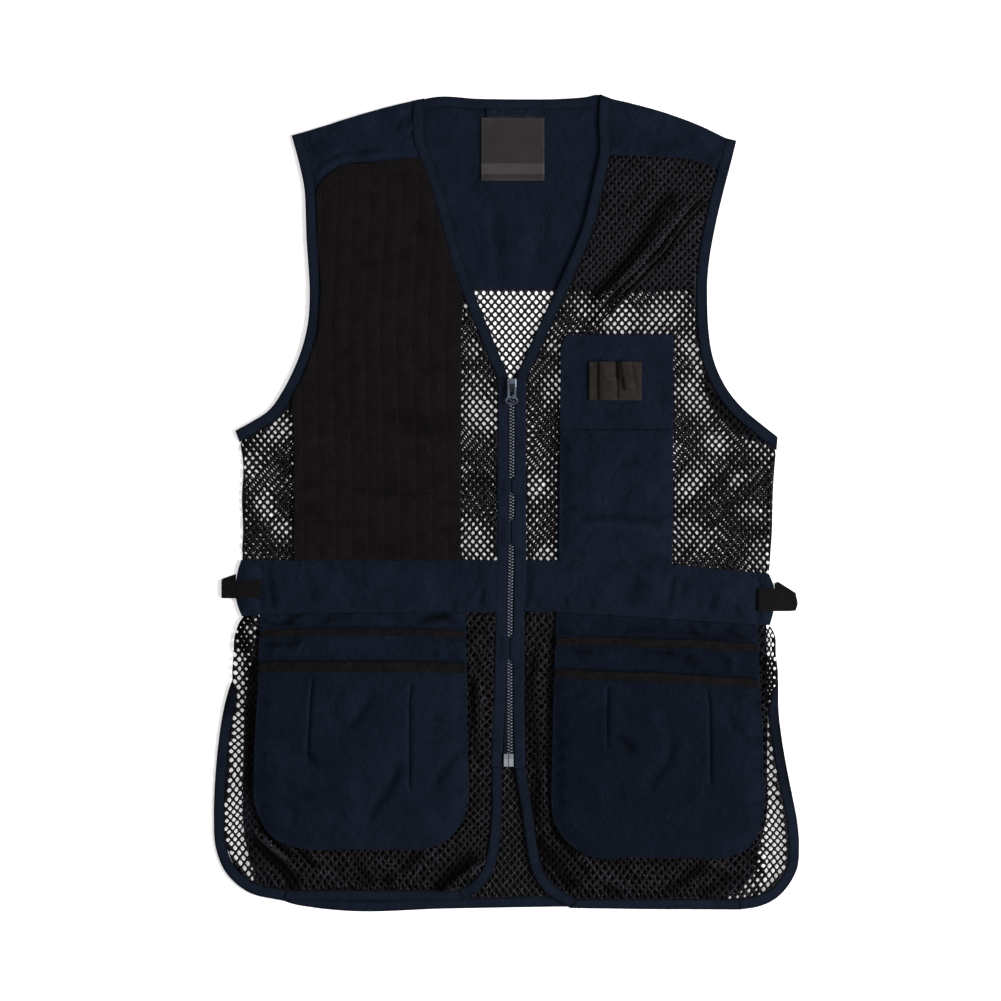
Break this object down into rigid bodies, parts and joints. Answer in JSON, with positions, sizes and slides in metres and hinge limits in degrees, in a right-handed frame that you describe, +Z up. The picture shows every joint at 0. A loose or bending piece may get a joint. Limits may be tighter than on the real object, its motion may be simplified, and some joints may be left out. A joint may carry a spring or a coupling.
{
  "type": "shooting vest",
  "caption": "Sleeveless shooting vest laid flat: net body, cloth yokes and waistband, quilted shoulder patch, chest pocket with loops, double shell pockets and a front zip.",
  "frame": {"origin": "centre of the vest's outline on the surface that it lies on", "axes": "+Y to the neck, +X to the viewer's right as the vest lies front up, +Z up from the surface"},
  "size_m": [0.5666, 0.7916, 0.0145],
  "materials": {
    "navy_cloth": "matt plain-weave cotton blend, navy",
    "navy_binding": "matt folded binding tape, navy",
    "black_net": "knitted polyester net, black brown",
    "suede_patch": "quilted suede-like cloth, black brown",
    "brown_elastic": "woven elastic, taupe brown",
    "black_trim": "ribbed elastic trim, brown black",
    "black_webbing": "woven webbing, black",
    "charcoal_label": "satin woven label, charcoal",
    "zip_chain": "moulded zip teeth, blue grey",
    "zip_metal": "enamelled metal, blue grey"
  },
  "bodies": {
    "vest": {"armhole_binding_left": "navy_binding", "armhole_binding_right": "navy_binding", "back_armhole_binding_left": "navy_binding", "back_armhole_binding_right": "navy_binding", "back_hem_binding": "navy_binding", "back_neck_binding": "navy_binding", "back_net_lower": "black_net", "back_net_upper": "black_net", "back_pouch": "navy_cloth", "back_side_binding_left": "navy_binding", "back_side_binding_right": "navy_binding", "back_waistband": "navy_cloth", "back_yoke": "navy_cloth", "chest_panel": "navy_cloth", "chest_pocket": "navy_cloth", "elastic_loops": "brown_elastic", "front_edge_binding_left": "navy_binding", "front_edge_binding_right": "navy_binding", "front_net_lower_left": "black_net", "front_net_lower_right": "black_net", "front_net_upper_left": "black_net", "front_net_upper_right": "black_net", "hanger_tape": "navy_binding", "hem_binding_left": "navy_binding", "hem_binding_right": "navy_binding", "neck_binding_left": "navy_binding", "neck_binding_right": "navy_binding", "neck_label": "charcoal_label", "placket_left": "navy_binding", "placket_right": "navy_binding", "pocket_backing_left": "navy_cloth", "pocket_backing_right": "navy_cloth", "pocket_inner_left": "navy_cloth", "pocket_inner_right": "navy_cloth", "pocket_outer_left": "navy_cloth", "pocket_outer_right": "navy_cloth", "pocket_trim_inner_left": "black_trim", "pocket_trim_inner_right": "black_trim", "pocket_trim_outer_left": "black_trim", "pocket_trim_outer_right": "black_trim", "shooting_patch": "suede_patch", "shoulder_yoke_left": "navy_cloth", "shoulder_yoke_right": "navy_cloth", "strap_over_left": "black_webbing", "strap_over_right": "black_webbing", "strap_under_left": "black_webbing", "strap_under_right": "black_webbing", "vent_binding_left": "navy_binding", "vent_binding_right": "navy_binding", "waist_side_left": "navy_cloth", "waist_side_right": "navy_cloth", "waistband_left": "navy_cloth", "waistband_right": "navy_cloth", "zip_box": "zip_metal", "zip_chain": "zip_chain", "zip_slider": "zip_metal"},
    "pull_tab": {"zip_pull": "zip_metal"}
  },
  "joints": [
    {"name": "pull_hinge", "type": "hinge", "parent": "vest", "child": "pull_tab", "pos_m": [0.0052, 0.11115, 0.00745], "axis": [-1, 0, 0], "range_deg": [0, 165]}
  ]
}
